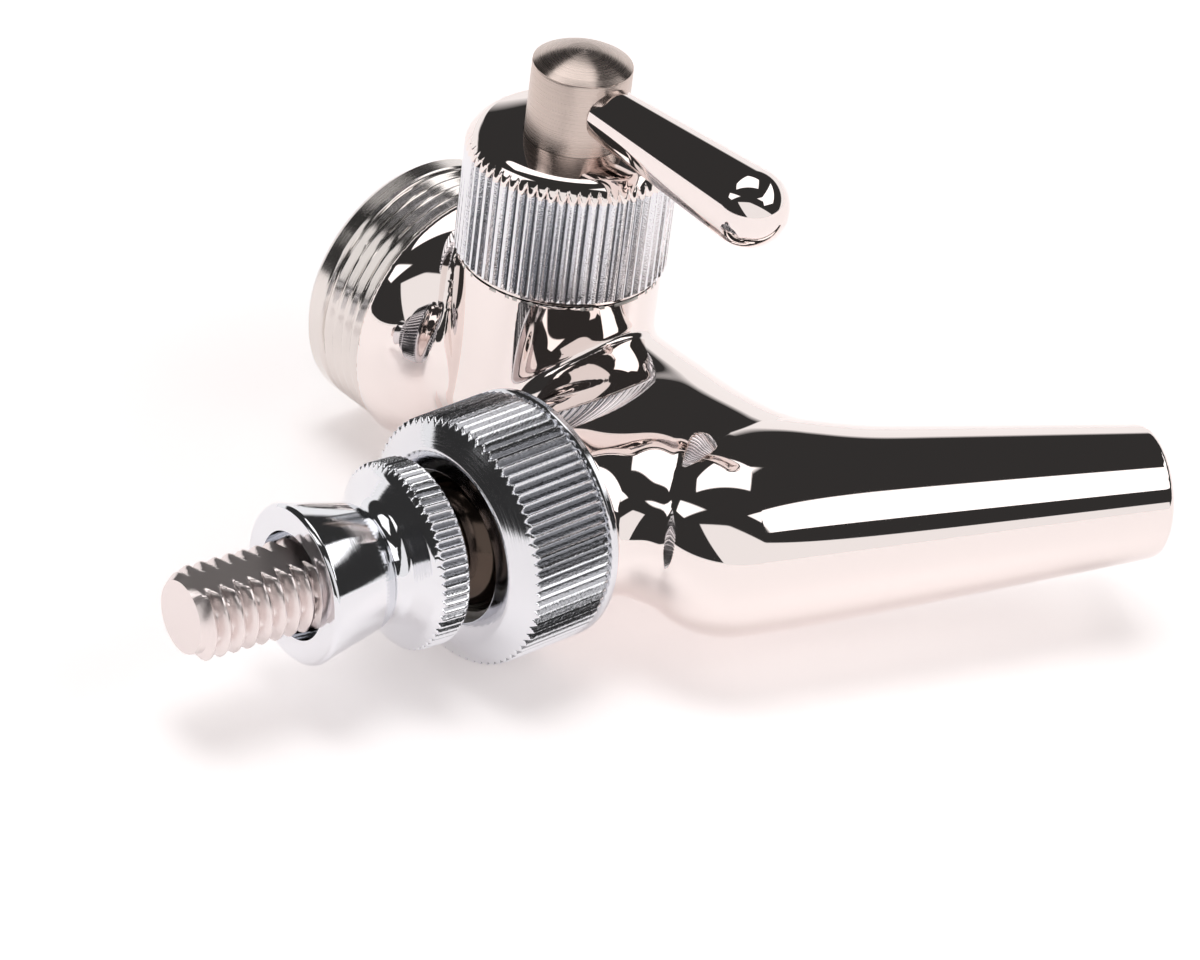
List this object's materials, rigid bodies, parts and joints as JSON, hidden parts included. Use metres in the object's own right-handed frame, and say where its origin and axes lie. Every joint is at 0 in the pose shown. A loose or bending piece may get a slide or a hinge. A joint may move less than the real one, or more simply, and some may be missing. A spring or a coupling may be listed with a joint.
{
  "type": "beer faucet",
  "caption": "Forward-sealing beer faucet with an angled spout, a threaded handle stud with a bell collar, and a flow-control stem with a bar lever.",
  "frame": {"origin": "centre of the inlet face, at the open end of the threaded flange", "axes": "+Y out of the inlet along the barrel, +Z up along the flow-control stem as the faucet lies in the picture, -X towards the handle stud and +X towards the spout. On a wall or tower the faucet hangs with -X up and +Y into the wall"},
  "size_m": [0.1024, 0.0794, 0.0535],
  "materials": {
    "polished_body": "mirror polished",
    "knurled_chrome": "knurled, polished",
    "brushed_stem": "brushed",
    "stainless_lever": "turned",
    "inner_steel": "machined",
    "seal_rubber": "matte",
    "gasket_rubber": "matte",
    "white_plastic": "smooth"
  },
  "bodies": {
    "body": {"faucet_body": "polished_body", "coupling_gasket": "gasket_rubber", "throttle_seat": "inner_steel", "seal_seat": "inner_steel", "ball_seal": "seal_rubber", "bearing_cup": "white_plastic", "friction_washer": "white_plastic", "bonnet": "knurled_chrome", "flow_cap": "knurled_chrome", "stem_washer": "white_plastic", "cap_gasket": "gasket_rubber"},
    "tap_lever": {"lever": "stainless_lever"},
    "collar": {"lever_collar": "knurled_chrome"},
    "plunger": {"valve_shaft": "inner_steel", "shaft_seal": "seal_rubber"},
    "flow_control": {"flow_stem": "brushed_stem", "crank_pin": "inner_steel", "flow_lever": "polished_body", "stem_seal_lower": "seal_rubber", "stem_seal_upper": "seal_rubber"},
    "throttle": {"flow_throttle": "inner_steel"}
  },
  "joints": [
    {"name": "pour", "type": "hinge", "parent": "body", "child": "tap_lever", "pos_m": [-0.0245, -0.0422, 0], "axis": [0, 0, 1], "range_deg": [0, 18]},
    {"name": "plunger_slide", "type": "slide", "parent": "body", "child": "plunger", "axis": [0, 1, 0], "range_m": [0, 0.0062]},
    {"name": "flow_turn", "type": "hinge", "parent": "body", "child": "flow_control", "pos_m": [0, -0.0227, 0], "axis": [0, 0, 1], "range_deg": [-45, 45]},
    {"name": "throttle_slide", "type": "slide", "parent": "body", "child": "throttle", "axis": [0, 1, 0], "range_m": [-0.00192, 0.00192]},
    {"name": "collar_turn", "type": "hinge", "parent": "tap_lever", "child": "collar", "pos_m": [-0.0245, -0.0422, 0], "axis": [-0.9936, 0.1132, 0], "range_deg": [-180, 180]}
  ],
  "couplings": [
    {"joint": "plunger_slide", "follows": "pour", "m_per_rad": 0.0194},
    {"joint": "throttle_slide", "follows": "flow_turn", "m_per_rad": 0.002418}
  ]
}
